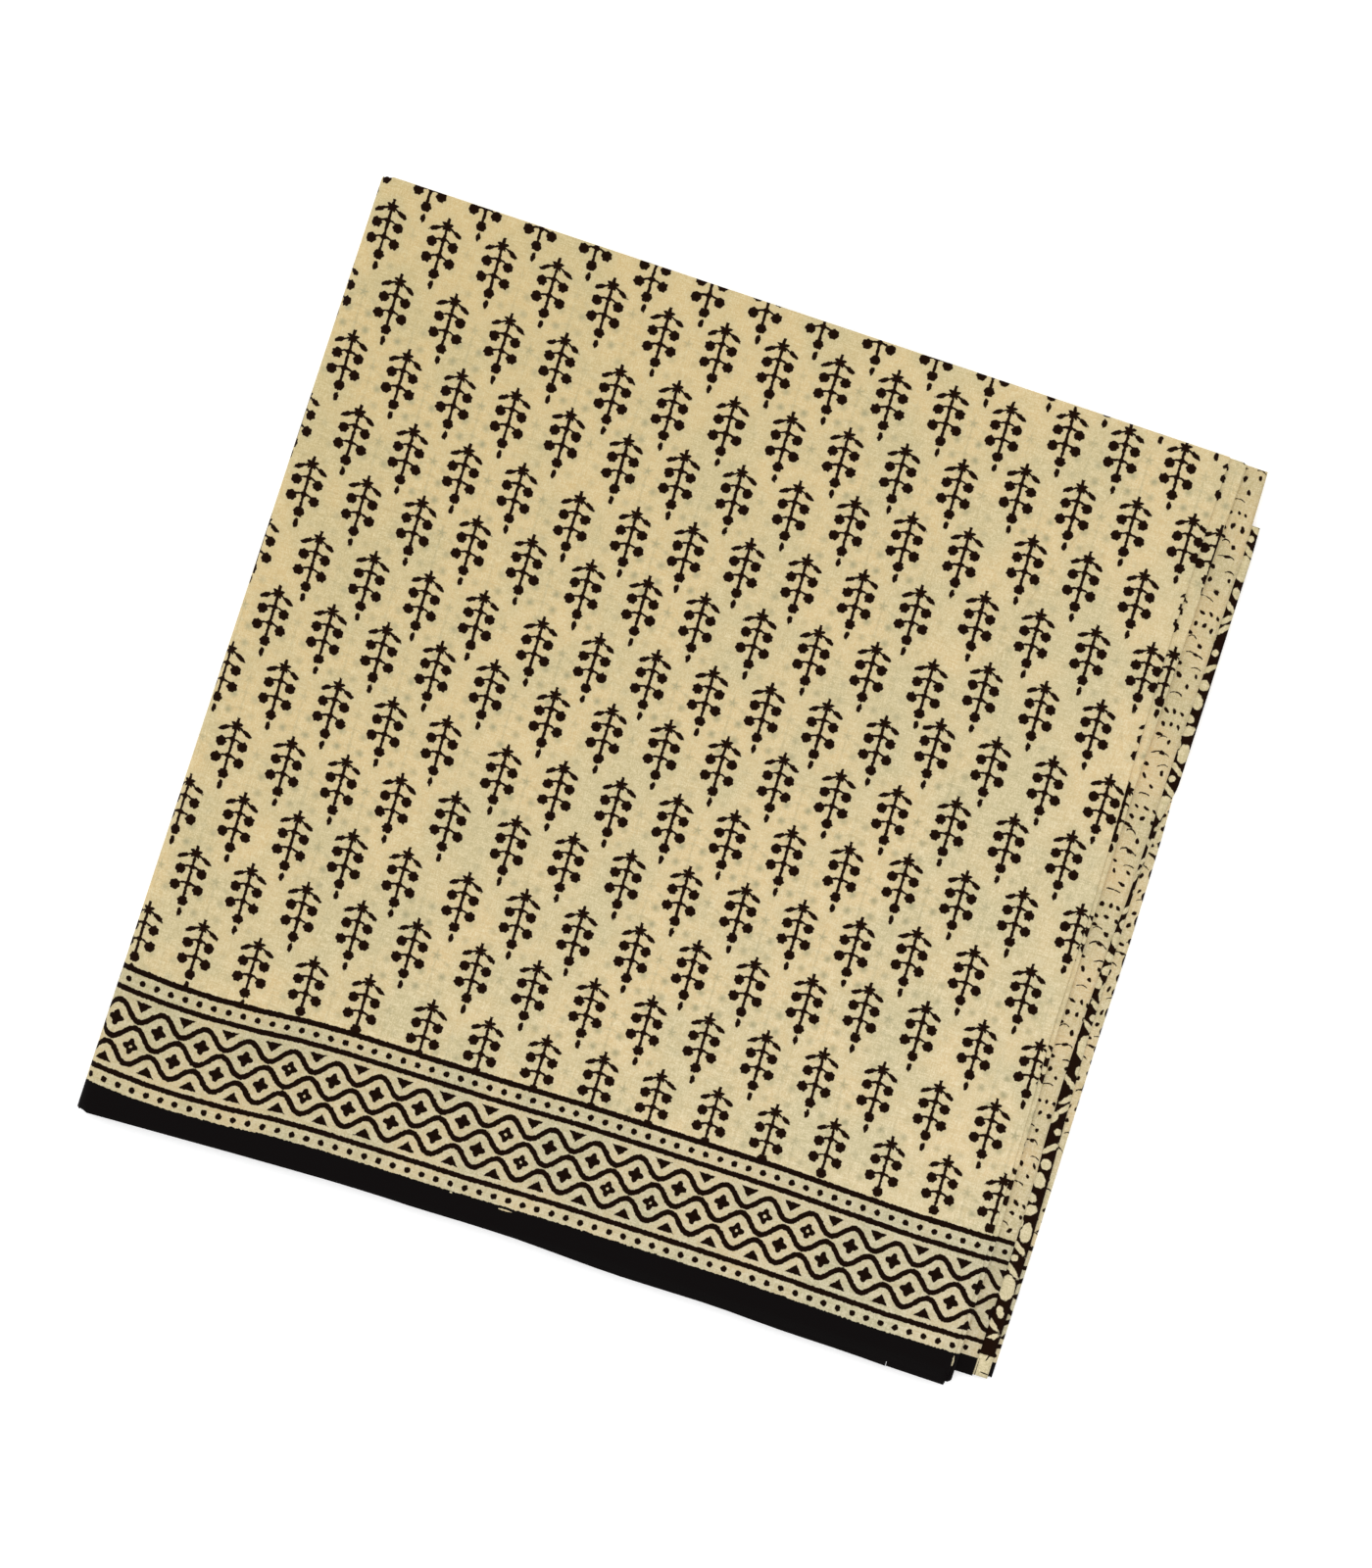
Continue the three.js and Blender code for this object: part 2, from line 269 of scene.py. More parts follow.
def borderShape():
    tree, given = newGroup("borderShape", [("Place", "NodeSocketVector")],
                           [("Outside", "NodeSocketFloat"), ("Below", "NodeSocketFloat")])
    place = addNode(tree, "ShaderNodeSeparateXYZ", given)
    below = place.outputs[1]
    up = calc(tree, "SUBTRACT", border["middle"], below)
    upper = calc(tree, "GREATER_THAN", up, 0.0)
    shift = calc(tree, "MULTIPLY_ADD", upper, -border["repeat"] / 2, border["repeat"] / 2)
    along = calc(tree, "ADD", place, shift)
    up = calc(tree, "ABSOLUTE", up)
    phase = calc(tree, "MULTIPLY", along, math.tau / border["repeat"])
    swing = calc(tree, "COSINE", phase)
    slope = calc(tree, "SINE", phase)
    steep = calc(tree, "MULTIPLY", slope, slope)
    steep = calc(tree, "MULTIPLY_ADD", steep, -0.29, 1.0)
    ink = None
    for rise, height in ((-border["wave"], 0.0), (border["wave"], border["waveUp"])):
        line = calc(tree, "MULTIPLY_ADD", swing, rise, height)
        off = calc(tree, "SUBTRACT", up, line)
        off = calc(tree, "ABSOLUTE", off)
        off = calc(tree, "MULTIPLY_ADD", off, steep, -border["waveWide"])
        ink = off if ink is None else calc(tree, "MINIMUM", ink, off)
    off = calc(tree, "SUBTRACT", up, border["lineUp"])
    off = calc(tree, "ABSOLUTE", off)
    off = calc(tree, "SUBTRACT", off, border["line"])
    ink = calc(tree, "MINIMUM", ink, off)
    off = calc(tree, "ABSOLUTE", below)
    off = calc(tree, "SUBTRACT", off, border["firstLine"])
    ink = calc(tree, "MINIMUM", ink, off)
    third = border["repeat"] / 3
    near = calc(tree, "PINGPONG", along, third / 2)
    high = calc(tree, "SUBTRACT", up, border["dotsUp"])
    dot = addNode(tree, "ShaderNodeCombineXYZ", near, high)
    dot = lengthOf(tree, dot)
    dot = calc(tree, "SUBTRACT", dot, border["dot"])
    ink = calc(tree, "MINIMUM", ink, dot)
    # Flowers stand at whole repeats, buds half way between them
    near = calc(tree, "PINGPONG", along, border["repeat"] / 2)
    high = calc(tree, "SUBTRACT", up, border["flowerUp"])
    turn = calc(tree, "ARCTAN2", near, high)
    turn = calc(tree, "MULTIPLY", turn, 4.0)
    petals = calc(tree, "COSINE", turn)
    spot = addNode(tree, "ShaderNodeCombineXYZ", near, high)
    away = lengthOf(tree, spot)
    flower = calc(tree, "MULTIPLY_ADD", petals, -border["petal"], away)
    flower = calc(tree, "SUBTRACT", flower, border["flower"])
    count = calc(tree, "DIVIDE", along, border["repeat"])
    count = calc(tree, "ROUND", count)
    key = addNode(tree, "ShaderNodeCombineXYZ", count, upper)
    chance = addNode(tree, "ShaderNodeTexWhiteNoise", key, noise_dimensions="2D")
    opened = calc(tree, "GREATER_THAN", chance.outputs["Value"], 0.76)
    hole = calc(tree, "MULTIPLY", opened, border["hollow"])
    hole = calc(tree, "SUBTRACT", hole, away)
    flower = calc(tree, "MAXIMUM", flower, hole)
    ink = calc(tree, "MINIMUM", ink, flower)
    half = calc(tree, "SUBTRACT", border["repeat"] / 2, near)
    high = calc(tree, "SUBTRACT", border["budUp"], up)
    lean = math.hypot(border["budHalf"], border["budHigh"])
    flat = calc(tree, "MULTIPLY_ADD", high, -1.0, -border["budHigh"] / 2)
    side = calc(tree, "SUBTRACT", high, border["budHigh"] / 2)
    side = calc(tree, "MULTIPLY", side, border["budHalf"] / lean)
    side = calc(tree, "MULTIPLY_ADD", half, border["budHigh"] / lean, side)
    bud = calc(tree, "SMOOTH_MAX", flat, side, 0.6)
    ink = calc(tree, "MINIMUM", ink, bud)
    addNode(tree, "NodeGroupOutput", ink, below)
    return tree


sprigTree = sprigShape()
borderTree = borderShape()


# Colours of the dyed and printed cotton, and of the painted shade in one corner and along the creases
cotton = {
    "ground": "#DAC295", "shadow": "#C6BA93", "highlight": "#EEDFBC", "cornerShade": "#EAE7D4",
    "bordering": "#EDF1F6", "ghost": "#A19B78", "ink": "#1C0D05", "borderInk": "#170A04", "band": "#0E0B0B",
    "halo": "#BCB18A", "palluPale": "#C9BC92", "pressed": "#A8946A",
    "blouseGround": "#D2B98D", "blouseShadow": "#BEB189", "blouseHighlight": "#E4D6B5",
}


# Plain woven cotton: small slubs and thread lines drawn 3 to 4 times coarser than the real 0.3 mm
# threads, which would not show. Warm and grey-green patches lie over it, and towards one corner it is
# painted darker and yellower: painted shade where the light falls off.
def wovenCotton(tree, ground, darker, lighter):
    where = addNode(tree, "ShaderNodeTexCoord").outputs["Object"]
    slow = addNode(tree, "ShaderNodeTexNoise", sockets={"Vector": where, "Scale": 26.0, "Detail": 4.0})
    shade = ramp(tree, slow, 0.38, 0.62, 0.0, 1.0)
    corner = addNode(tree, "ShaderNodeVectorMath", where, (-1.0, 1.0, 0.0), operation="DOT_PRODUCT")
    corner = ramp(tree, corner.outputs["Value"], -0.5, 0.45, 0.0, 0.85)
    shade = calc(tree, "MULTIPLY_ADD", corner, 0.7, shade)
    shade = calc(tree, "SUBTRACT", shade, 0.2)
    tone = blend(tree, shade, srgb(darker), srgb(ground))
    threads = []
    for stretch in ((150.0, 1000.0, 400.0), (1100.0, 260.0, 400.0)):  # along the width and along the length
        laid = addNode(tree, "ShaderNodeMapping", where, (0, 0, 0), (0, 0, 0), stretch)
        threads.append(addNode(tree, "ShaderNodeTexNoise",
                               sockets={"Vector": laid, "Scale": 1.0, "Detail": 2.0}))
    weave = calc(tree, "ADD", threads[0], threads[1])
    speck = addNode(tree, "ShaderNodeTexNoise", sockets={"Vector": where, "Scale": 1300.0, "Detail": 1.0})
    weave = calc(tree, "MULTIPLY_ADD", speck, 1.3, weave)
    grain = ramp(tree, weave, 1.4, 2.2, 0.0, 1.0)
    tone = blend(tree, grain, tone, srgb(lighter))
    # Painted shade: the cotton turns darker and yellower towards the top-left corner, as if the light fell
    # off there
    tone = blend(tree, corner, tone, srgb(cotton["cornerShade"]), blend_type="MULTIPLY")
    bump = addNode(tree, "ShaderNodeBump", sockets={"Strength": 0.12, "Distance": 0.0003, "Height": weave})
    return where, tone, bump


# Dry, unglazed cotton: next to no gloss, and a trace of sheen from the loose fibres
def clothShader(tree, colour, bump):
    shader = addNode(tree, "ShaderNodeBsdfPrincipled", sockets={"Base Color": colour, "Normal": bump})
    shader.inputs["Roughness"].default_value = 0.95
    shader.inputs["Sheen Weight"].default_value = 0.02
    shader.inputs["Sheen Roughness"].default_value = 0.5
    shader.inputs["Specular IOR Level"].default_value = 0.04
    addNode(tree, "ShaderNodeOutputMaterial", shader)


def newMaterial(name):
    material = bpy.data.materials.new(name)
    material.use_nodes = True
    material.node_tree.nodes.clear()
    return material, material.node_tree


# How deep a point lies in the list's small ovals, 0 outside them and 1 in their middle
def spotsOf(tree, place, spots):
    deep = None
    for spot in spots:
        inside = ovalPlace(tree, place, spot)
        away = lengthOf(tree, inside)
        within = calc(tree, "SUBTRACT", 1.0, away)
        deep = within if deep is None else calc(tree, "MAXIMUM", deep, within)
    return calc(tree, "MAXIMUM", deep, 0.0)


# Creases left by earlier folds: middle, half length, half width of the painted shade line along it,
# direction, and how high the cloth stands over it
creases = table("x y long wide turn high",
    (472.4, 21.5, 19.0, 0.9, 115, 0.3), (462.0, 47.0, 12.0, 0.8, 108, 0.22),
    (451.0, 77.0, 25.0, 0.9, 111, 0.38), (436.5, 121.0, 25.0, 0.9, 106, 0.3),
    (432.5, 163.0, 22.0, 0.8, 84, 0.24), (66.0, 185.2, 62.0, 0.8, -1, 0.3),
    (145.0, 180.5, 22.0, 0.8, -9, 0.24), (174.0, 172.5, 15.0, 0.7, -20, 0.18),
    (232.0, 340.0, 48.0, 0.7, 4, 0.2), (350.0, 262.0, 36.0, 0.7, -6, 0.16),
)
# Places where the black of the band did not take
bareSpots = table("x y long wide turn",
    (257.0, 552.4, 6.6, 0.8, -2), (224.2, 552.2, 1.3, 0.9, 0), (533.5, 554.6, 4.8, 1.3, 84),
)


# The cream cotton of the field and border with black block print. The ink sits in the threads, so its
# edges are ragged, and the print of the ply beneath shows through as a blurred grey-green shadow.
def printedCotton():
    material, tree = newMaterial("printedCotton")
    where, tone, bump = wovenCotton(tree, cotton["ground"], cotton["shadow"], cotton["highlight"])
    fray = frayOf(tree, where, 620.0, 0.8)
    sprigPlace = addNode(tree, "ShaderNodeUVMap", uv_map="sprigPlace")
    ghostPlace = addNode(tree, "ShaderNodeUVMap", uv_map="ghostPlace")
    borderPlace = addNode(tree, "ShaderNodeUVMap", uv_map="borderPlace")
    clothPlace = addNode(tree, "ShaderNodeUVMap", uv_map="clothPlace")
    # Painted shade along the creases: a darker line where each crease lies
    pressed = spotsOf(tree, clothPlace, creases)
    pressed = calc(tree, "MULTIPLY", pressed, 0.4)
    tone = blend(tree, pressed, tone, srgb(cotton["pressed"]))
    edge = addNode(tree, "ShaderNodeGroup", borderPlace, node_tree=borderTree)
    field = calc(tree, "LESS_THAN", edge.outputs["Below"], 0.0)
    inBorder = calc(tree, "SUBTRACT", 1.0, field)
    tone = blend(tree, inBorder, tone, srgb(cotton["bordering"]), blend_type="MULTIPLY")
    ghost = addNode(tree, "ShaderNodeGroup", ghostPlace, node_tree=sprigTree)
    patches = addNode(tree, "ShaderNodeTexNoise", sockets={"Vector": where, "Scale": 22.0, "Detail": 2.0})
    patches = ramp(tree, patches, 0.36, 0.6, 0.05, 0.9)
    faint = calc(tree, "MULTIPLY_ADD", fray, 1.4, ghost)
    faint = ramp(tree, faint, -2.6, 0.3, 1.0, 0.0)
    faint = calc(tree, "MULTIPLY", faint, patches)
    faint = calc(tree, "MULTIPLY", faint, field)
    tone = blend(tree, faint, tone, srgb(cotton["ghost"]))
    motif = addNode(tree, "ShaderNodeGroup", sprigPlace, node_tree=sprigTree)
    halo = ramp(tree, motif, 0.3, 4.5, 0.34, 0.0)
    halo = calc(tree, "MULTIPLY", halo, field)
    tone = blend(tree, halo, tone, srgb(cotton["halo"]))
    ragged = calc(tree, "ADD", motif, fray)
    inked = ramp(tree, ragged, 0.0, 0.3, 1.0, 0.0)
    inked = calc(tree, "MULTIPLY", inked, field)
    tone = blend(tree, inked, tone, srgb(cotton["ink"]))
    ragged = calc(tree, "ADD", edge, fray)
    inked = ramp(tree, ragged, 0.12, 0.42, 1.0, 0.0)
    tone = blend(tree, inked, tone, srgb(cotton["borderInk"]))
    rim = calc(tree, "MULTIPLY_ADD", fray, 1.2, edge.outputs["Below"])
    dyed = ramp(tree, rim, border["band"] - 0.1, border["band"] + 0.1, 0.0, 1.0)
    bare = calc(tree, "ADD", fray, 0.9)
    bare = calc(tree, "MULTIPLY", spotsOf(tree, clothPlace, bareSpots), bare)
    bare = ramp(tree, bare, 0.28, 0.36, 1.0, 0.0)
    dyed = calc(tree, "MULTIPLY", dyed, bare)
    tone = blend(tree, dyed, tone, srgb(cotton["band"]))
    clothShader(tree, tone, bump)
    return material


# Small strewn dots in threes and thin bent stems, in millimetres on the cloth: they repeat a little
# out of line
strewn = {
    "across": 17.0, "down": 60.2, "middle": (539.5, 59.6), "stem": 0.28, "wander": 10.0,
    "dots": table("x y long wide turn",
        (-5.0, -27.0, 1.4, 1.0, 35), (0.0, -27.4, 1.5, 1.0, 60), (4.8, -26.6, 1.4, 0.9, 50),
        (-5.6, -19.2, 1.5, 1.0, 60), (-0.6, -19.6, 1.4, 1.1, 80), (5.0, -18.4, 1.5, 1.0, 70),
        (-6.2, -13.4, 1.8, 1.0, 20), (1.6, -8.6, 1.3, 1.2, 0), (-0.6, -2.8, 1.7, 0.8, 0),
        (-6.2, 5.4, 1.3, 1.0, 10), (4.2, 9.6, 1.4, 1.0, 75), (-5.0, 12.4, 1.5, 1.1, 75),
        (0.6, 17.6, 1.4, 1.0, 50),
    ),
    "stems": table("x y bend half",
        (-0.8, -3.4, 0.06, 5.2), (-3.6, -12.0, 0.16, 2.8), (3.4, 4.4, 0.12, 3.2),
        (-2.6, 22.6, 0.1, 3.4),
    ),
}


# Dark bars of the next print, which come round the edge of the lowest fold. All were pressed on wider
# than they were charted, and a little further on.
barPress = {"further": 0.4, "wider": 1.65, "turn": 90}
edgeBars = table("x y long wide",
    (43.8, 210, 1.5, 1.5), (43.6, 220, 2.2, 1.4), (43.4, 230, 2.6, 1.5), (43.2, 238, 2.2, 1.4),
    (42.9, 248, 3.8, 1.5), (42.6, 262, 3.5, 1.7), (42.3, 277, 4.0, 1.5), (42.0, 289.5, 2.4, 1.7),
    (41.8, 301.5, 5.0, 1.4), (41.8, 312, 3.1, 1.7), (41.8, 321, 3.0, 1.5), (41.8, 333.5, 3.8, 1.5),
    (41.7, 345, 3.1, 1.4), (41.6, 356, 2.6, 1.3), (41.5, 364, 2.1, 1.2), (41.3, 371, 1.4, 1.1),
    (41.2, 380, 3.4, 1.1), (41.0, 389, 3.2, 1.0),
)
for bar in edgeBars:
    bar["x"] += barPress["further"]
    bar["wide"] *= barPress["wider"]
    bar["turn"] = barPress["turn"]


def strewnShape():
    tree, given = newGroup("strewnShape", [("Place", "NodeSocketVector")], [("Outside", "NodeSocketFloat")])
    wander = addNode(tree, "ShaderNodeTexNoise", sockets={"Vector": given, "Scale": 0.045, "Detail": 1.0})
    wander = addNode(tree, "ShaderNodeVectorMath", wander.outputs["Color"], (0.5, 0.5, 0.5),
                     operation="SUBTRACT")
    wander = addNode(tree, "ShaderNodeVectorMath", wander, sockets={"Scale": strewn["wander"]},
                     operation="SCALE")
    moved = addNode(tree, "ShaderNodeVectorMath", given, wander, operation="ADD")
    moved = addNode(tree, "ShaderNodeVectorMath", moved, (*strewn["middle"], 0.0), operation="SUBTRACT")
    place = addNode(tree, "ShaderNodeSeparateXYZ", moved)
    x = calc(tree, "WRAP", place, strewn["across"] / 2, -strewn["across"] / 2)
    y = calc(tree, "WRAP", place.outputs[1], strewn["down"] / 2, -strewn["down"] / 2)
    spot = addNode(tree, "ShaderNodeCombineXYZ", x, y)
    ink = None
    for stem in strewn["stems"]:
        aside = calc(tree, "SUBTRACT", x, stem["x"])
        square = calc(tree, "MULTIPLY", aside, aside)
        arch = calc(tree, "MULTIPLY_ADD", square, stem["bend"], stem["y"])
        off = calc(tree, "SUBTRACT", y, arch)
        off = calc(tree, "ABSOLUTE", off)
        off = calc(tree, "SUBTRACT", off, strewn["stem"])
        beyond = calc(tree, "SUBTRACT", square, stem["half"] ** 2)
        off = calc(tree, "MAXIMUM", off, beyond)
        ink = off if ink is None else calc(tree, "MINIMUM", ink, off)
    for dot in strewn["dots"]:
        inside = ovalPlace(tree, spot, dot)
        away = lengthOf(tree, inside)
        rim = calc(tree, "MULTIPLY_ADD", away, dot["wide"], -dot["wide"])
        ink = calc(tree, "MINIMUM", ink, rim)
    addNode(tree, "NodeGroupOutput", ink)
    return tree


# The pallu's reserved shapes, left pale in its black ground: slanting bars, leaves, ovals and rings.
# Near the selvedge a dark block closes them, and the last stretch is pale with a few thin bars.
palluPrint = {
    "across": 13.0, "down": 148.0, "middle": (550.5, 146.0), "closed": 536.5, "open": 546.5,
    "shapes": table("x y long wide turn",
        (1.6, -70.0, 3.6, 2.2, 65), (-1.2, -62.5, 6.4, 1.5, 38), (1.0, -53.8, 6.2, 1.6, -42),
        (0.6, -47.4, 6.4, 1.5, -46), (-4.8, -40.4, 4.2, 2.6, -60), (0.6, -33.0, 2.1, 2.0, 0),
        (-0.6, -22.4, 6.4, 1.7, -42), (0.2, -12.8, 3.3, 3.2, 0), (-1.0, -2.8, 5.0, 3.6, 60),
        (-2.6, 8.0, 4.2, 2.4, 20), (-0.6, 15.6, 4.4, 3.0, -30), (-4.6, 24.0, 3.8, 2.6, 60),
        (1.4, 29.0, 6.0, 3.3, 88), (0.2, 38.6, 6.4, 1.6, 36), (-0.4, 45.0, 2.1, 2.0, 0),
        (-0.2, 51.8, 6.6, 1.6, 38), (0.8, 63.0, 7.6, 4.8, 82),
    ),
    "bars": table("x y long wide turn",
        (553.5, 547.8, 3.6, 0.7, -72), (554.2, 557.0, 4.6, 0.55, 4), (552.0, 565.2, 4.4, 0.55, 10),
        (549.2, 556.0, 9.5, 0.35, 90),
    ),
}


def palluShape():
    tree, given = newGroup("palluShape", [("Place", "NodeSocketVector")], [("Outside", "NodeSocketFloat")])
    place = addNode(tree, "ShaderNodeVectorMath", given, (*palluPrint["middle"], 0.0), operation="SUBTRACT")
    place = addNode(tree, "ShaderNodeSeparateXYZ", place)
    x = calc(tree, "WRAP", place, palluPrint["across"] / 2, -palluPrint["across"] / 2)
    y = calc(tree, "WRAP", place.outputs[1], palluPrint["down"] / 2, -palluPrint["down"] / 2)
    spot = addNode(tree, "ShaderNodeCombineXYZ", x, y)
    pale = None
    for shape in palluPrint["shapes"]:
        inside = ovalPlace(tree, spot, shape)
        away = lengthOf(tree, inside)
        rim = calc(tree, "MULTIPLY_ADD", away, shape["wide"], -shape["wide"])
        pale = rim if pale is None else calc(tree, "MINIMUM", pale, rim)
    down = addNode(tree, "ShaderNodeSeparateXYZ", given).outputs[1]
    closed = calc(tree, "SUBTRACT", down, palluPrint["closed"])
    pale = calc(tree, "MAXIMUM", pale, closed)
    opened = calc(tree, "SUBTRACT", palluPrint["open"], down)
    bars = spotsOf(tree, given, palluPrint["bars"])
    bars = calc(tree, "MULTIPLY_ADD", bars, 3.0, -1.0)
    opened = calc(tree, "MAXIMUM", opened, bars)
    pale = calc(tree, "MINIMUM", pale, opened)
    addNode(tree, "NodeGroupOutput", pale)
    return tree


# The blouse end: the same cream cotton, strewn with dots, with the same border and black selvedge
def blouseCotton():
    material, tree = newMaterial("blouseCotton")
    where, tone, bump = wovenCotton(tree, cotton["blouseGround"], cotton["blouseShadow"],
                                           cotton["blouseHighlight"])
    fray = frayOf(tree, where, 620.0, 0.6)
    clothPlace = addNode(tree, "ShaderNodeUVMap", uv_map="clothPlace")
    borderPlace = addNode(tree, "ShaderNodeUVMap", uv_map="borderPlace")
    edge = addNode(tree, "ShaderNodeGroup", borderPlace, node_tree=borderTree)
    field = calc(tree, "LESS_THAN", edge.outputs["Below"], 0.0)
    inBorder = calc(tree, "SUBTRACT", 1.0, field)
    tone = blend(tree, inBorder, tone, srgb(cotton["bordering"]), blend_type="MULTIPLY")
    motif = addNode(tree, "ShaderNodeGroup", clothPlace, node_tree=strewnShape())
    ragged = calc(tree, "ADD", motif, fray)
    inked = ramp(tree, ragged, -0.05, 0.3, 1.0, 0.0)
    inked = calc(tree, "MULTIPLY", inked, field)
    bars = calc(tree, "MULTIPLY_ADD", fray, -0.12, spotsOf(tree, clothPlace, edgeBars))
    bars = ramp(tree, bars, 0.1, 0.2, 0.0, 1.0)
    inked = calc(tree, "MAXIMUM", inked, bars)
    tone = blend(tree, inked, tone, srgb(cotton["ink"]))
    ragged = calc(tree, "ADD", edge, fray)
    inked = ramp(tree, ragged, -0.15, 0.2, 1.0, 0.0)
    tone = blend(tree, inked, tone, srgb(cotton["borderInk"]))
    dyed = ramp(tree, edge.outputs["Below"], border["band"] - 0.1, border["band"] + 0.1, 0.0, 1.0)
    tone = blend(tree, dyed, tone, srgb(cotton["band"]))
    clothShader(tree, tone, bump)
    return material


# The pallu: cotton dyed black with its figures kept pale by resist
def palluCotton():
    material, tree = newMaterial("palluCotton")
    where, tone, bump = wovenCotton(tree, cotton["palluPale"], cotton["shadow"], cotton["highlight"])
    fray = frayOf(tree, where, 520.0, 0.8)
    clothPlace = addNode(tree, "ShaderNodeUVMap", uv_map="clothPlace")
    motif = addNode(tree, "ShaderNodeGroup", clothPlace, node_tree=palluShape())
    ragged = calc(tree, "ADD", motif, fray)
    dyed = ramp(tree, ragged, -0.2, 0.2, 0.0, 1.0)
    tone = blend(tree, dyed, tone, srgb(cotton["ink"]))
    clothShader(tree, tone, bump)
    return material


printed = printedCotton()
blouse = blouseCotton()
pallu = palluCotton()
print("printed cottons are mixed")


# Block impressions on the top layer: where the star of the first sprig lies, how far apart the sprigs
# are and how the rows fall. Each is seven sprigs wide and two rows deep, and none was set down quite true.
block = {"columns": 7, "across": 34.5, "down": 39.8, "stagger": -16.4, "lean": 0.03, "deep": 78.4}
topStamps = table("x y fall apart",
    (-55.8, 14.7, 0.025, 34.1), (185.2, 26.0, -0.048, 34.5), (427.7, 7.3, -0.03, 34.0),
    (-53.1, 94.4, 0.025, 33.7), (185.8, 103.6, -0.05, 34.3), (428.3, 85.5, -0.02, 34.0),
    (-53.1, 171.8, 0.025, 34.0), (188.0, 179.9, -0.036, 34.6), (427.1, 164.4, 0.0, 34.6),
    (-47.3, 250.4, 0.012, 33.4), (191.5, 257.3, -0.04, 34.6), (433.8, 244.6, -0.035, 35.0),
    (-46.8, 331.8, 0.006, 33.7), (193.2, 335.2, -0.03, 34.9), (435.7, 323.8, 0.0, 35.0),
    (-46.8, 410.3, 0.0, 34.0), (196.6, 412.6, -0.022, 34.9), (441.4, 405.2, 0.0, 34.6),
)


# Rows of impressions laid by rule, each a little off its place
def stampRows(left, top, columns, rows, seed=0):
    wide = block["columns"] * block["across"]
    stamps = []
    for row in range(rows):
        for column in range(columns):
            place = Vector((column * 3.1 + seed, row * 2.7, seed * 1.7))
            stamps.append({
                "x": left + wide * column + 5.0 * noise.noise(place),
                "y": top + block["deep"] * row + 5.0 * noise.noise(place + Vector((9.0, 0, 0))),
                "fall": 0.04 * noise.noise(place + Vector((0, 9.0, 0))),
                "apart": block["across"],
            })
    return stamps


def sprigStars(stamps):
    stars = []
    for stamp in stamps:
        for column in range(block["columns"]):
            for row in range(2):
                x = column * stamp["apart"] + row * block["stagger"]
                y = row * block["down"] + stamp["fall"] * x
                stars.append((stamp["x"] + x, stamp["y"] + y, stamp["fall"]))
    return np.array(stars)


# The first line of the border is not quite straight
firstLine = table("fromLeft fromFold",
    (-30, 486.0), (3, 486.1), (34, 488.0), (57, 487.9), (86, 486.3), (115, 483.5), (143, 482.3),
    (229, 481.2), (287, 479.4), (401, 478.7), (487, 480.3), (560, 479.0),
)
borderStart = 6.6


# Nearest sprig for each face, so that every face of the cloth carries one sprig's own coordinates
def nearestStars(stars, x, y):
    reach = np.array([(0, -2, 2), (0, 14, 1), (0, 28, 3), (0, 35.5, 2), (8, 4.5, 2), (-8, 4.5, 2),
                      (6.6, 11.3, 3), (-6.6, 11.3, 3), (7, 21, 3), (-7, 21, 3)])
    best = np.full(len(x), 1e9)
    pick = np.zeros(len(x), int)
    for index, (starX, starY, _) in enumerate(stars):
        close = np.flatnonzero((abs(x - starX) < 30) & (y > starY - 30) & (y < starY + 66))
        if not len(close):
            continue
        dx = (x[close] - starX)[:, None] - reach[:, 0]
        dy = (y[close] - starY)[:, None] - reach[:, 1]
        away = (np.hypot(dx, dy) - reach[:, 2]).min(1)
        nearer = away < best[close]
        best[close[nearer]] = away[nearer]
        pick[close[nearer]] = index
    return pick


# Lays the print on a piece, from where each of its points lies on the cloth
def layPrint(mesh, along, across, stamps, ghosts, creased=None):
    corners = np.zeros(len(mesh.loops), int)
    mesh.loops.foreach_get("vertex_index", corners)
    sides = np.zeros(len(mesh.polygons), int)
    mesh.polygons.foreach_get("loop_total", sides)
    face = np.repeat(np.arange(len(sides)), sides)
    x, y = along[corners], across[corners]
    middleX = np.bincount(face, x) / sides
    middleY = np.bincount(face, y) / sides
    for name, impressions in (("sprigPlace", stamps), ("ghostPlace", ghosts)):
        stars = sprigStars(impressions)
        star = stars[nearestStars(stars, middleX, middleY)][face]
        dx, dy = x - star[:, 0], y - star[:, 1]
        layer = mesh.uv_layers.new(name=name, do_init=False)
        flat = np.stack([dx - block["lean"] * dy, dy - star[:, 2] * dx], 1)
        layer.data.foreach_set("uv", flat.ravel())
    line = np.interp(x, [row["fromLeft"] for row in firstLine], [row["fromFold"] for row in firstLine])
    crease = x if creased is None else creased[corners]
    for name, flat in (("borderPlace", [x - borderStart, np.abs(y) - line]), ("clothPlace", [crease, y])):
        layer = mesh.uv_layers.new(name=name, do_init=False)
        layer.data.foreach_set("uv", np.stack(flat, 1).ravel())


# The pile is lower where it is pressed flat
def settle(fromLeft, fromFold, height):
    right = fromLeft / pile["width"]
    front = fromFold / pile["length"]
    back = mix(pile["backLeft"], pile["backRight"], right)
    near = mix(pile["frontLeft"], pile["frontRight"], right)
    return height * (mix(back, near, front) + pile["crown"] * 4 * right * (1 - right))


def layerEnds(layer, fromLeft, short):
    right = min(max(fromLeft / pile["width"], 0), 1)
    ends = ("front", "frontRight", "back", "backRight")
    step = {end: readTable(layerSteps, "layer", layer, end) for end in ends}
    front = readTable(selvedgeLine, "fromLeft", fromLeft, "fromFold")
    return (front - mix(step["front"], step["frontRight"], right),
            mix(step["back"], step["backRight"], right) + short)


# Stations along the middle of a doubled layer. along is where the station lies on the cloth.
def runOf(layer, start, end, steps):
    facing = 1 if start(0) > end(0) else -1
    stations = []
    for step in range(steps + 1):
        def x(fromFold, share=step / steps):
            return mix(start(fromFold), end(fromFold), share)
        stations.append({"layer": layer, "x": x, "z": heightOf(layer), "out": (0, facing), "along": x})
    return stations


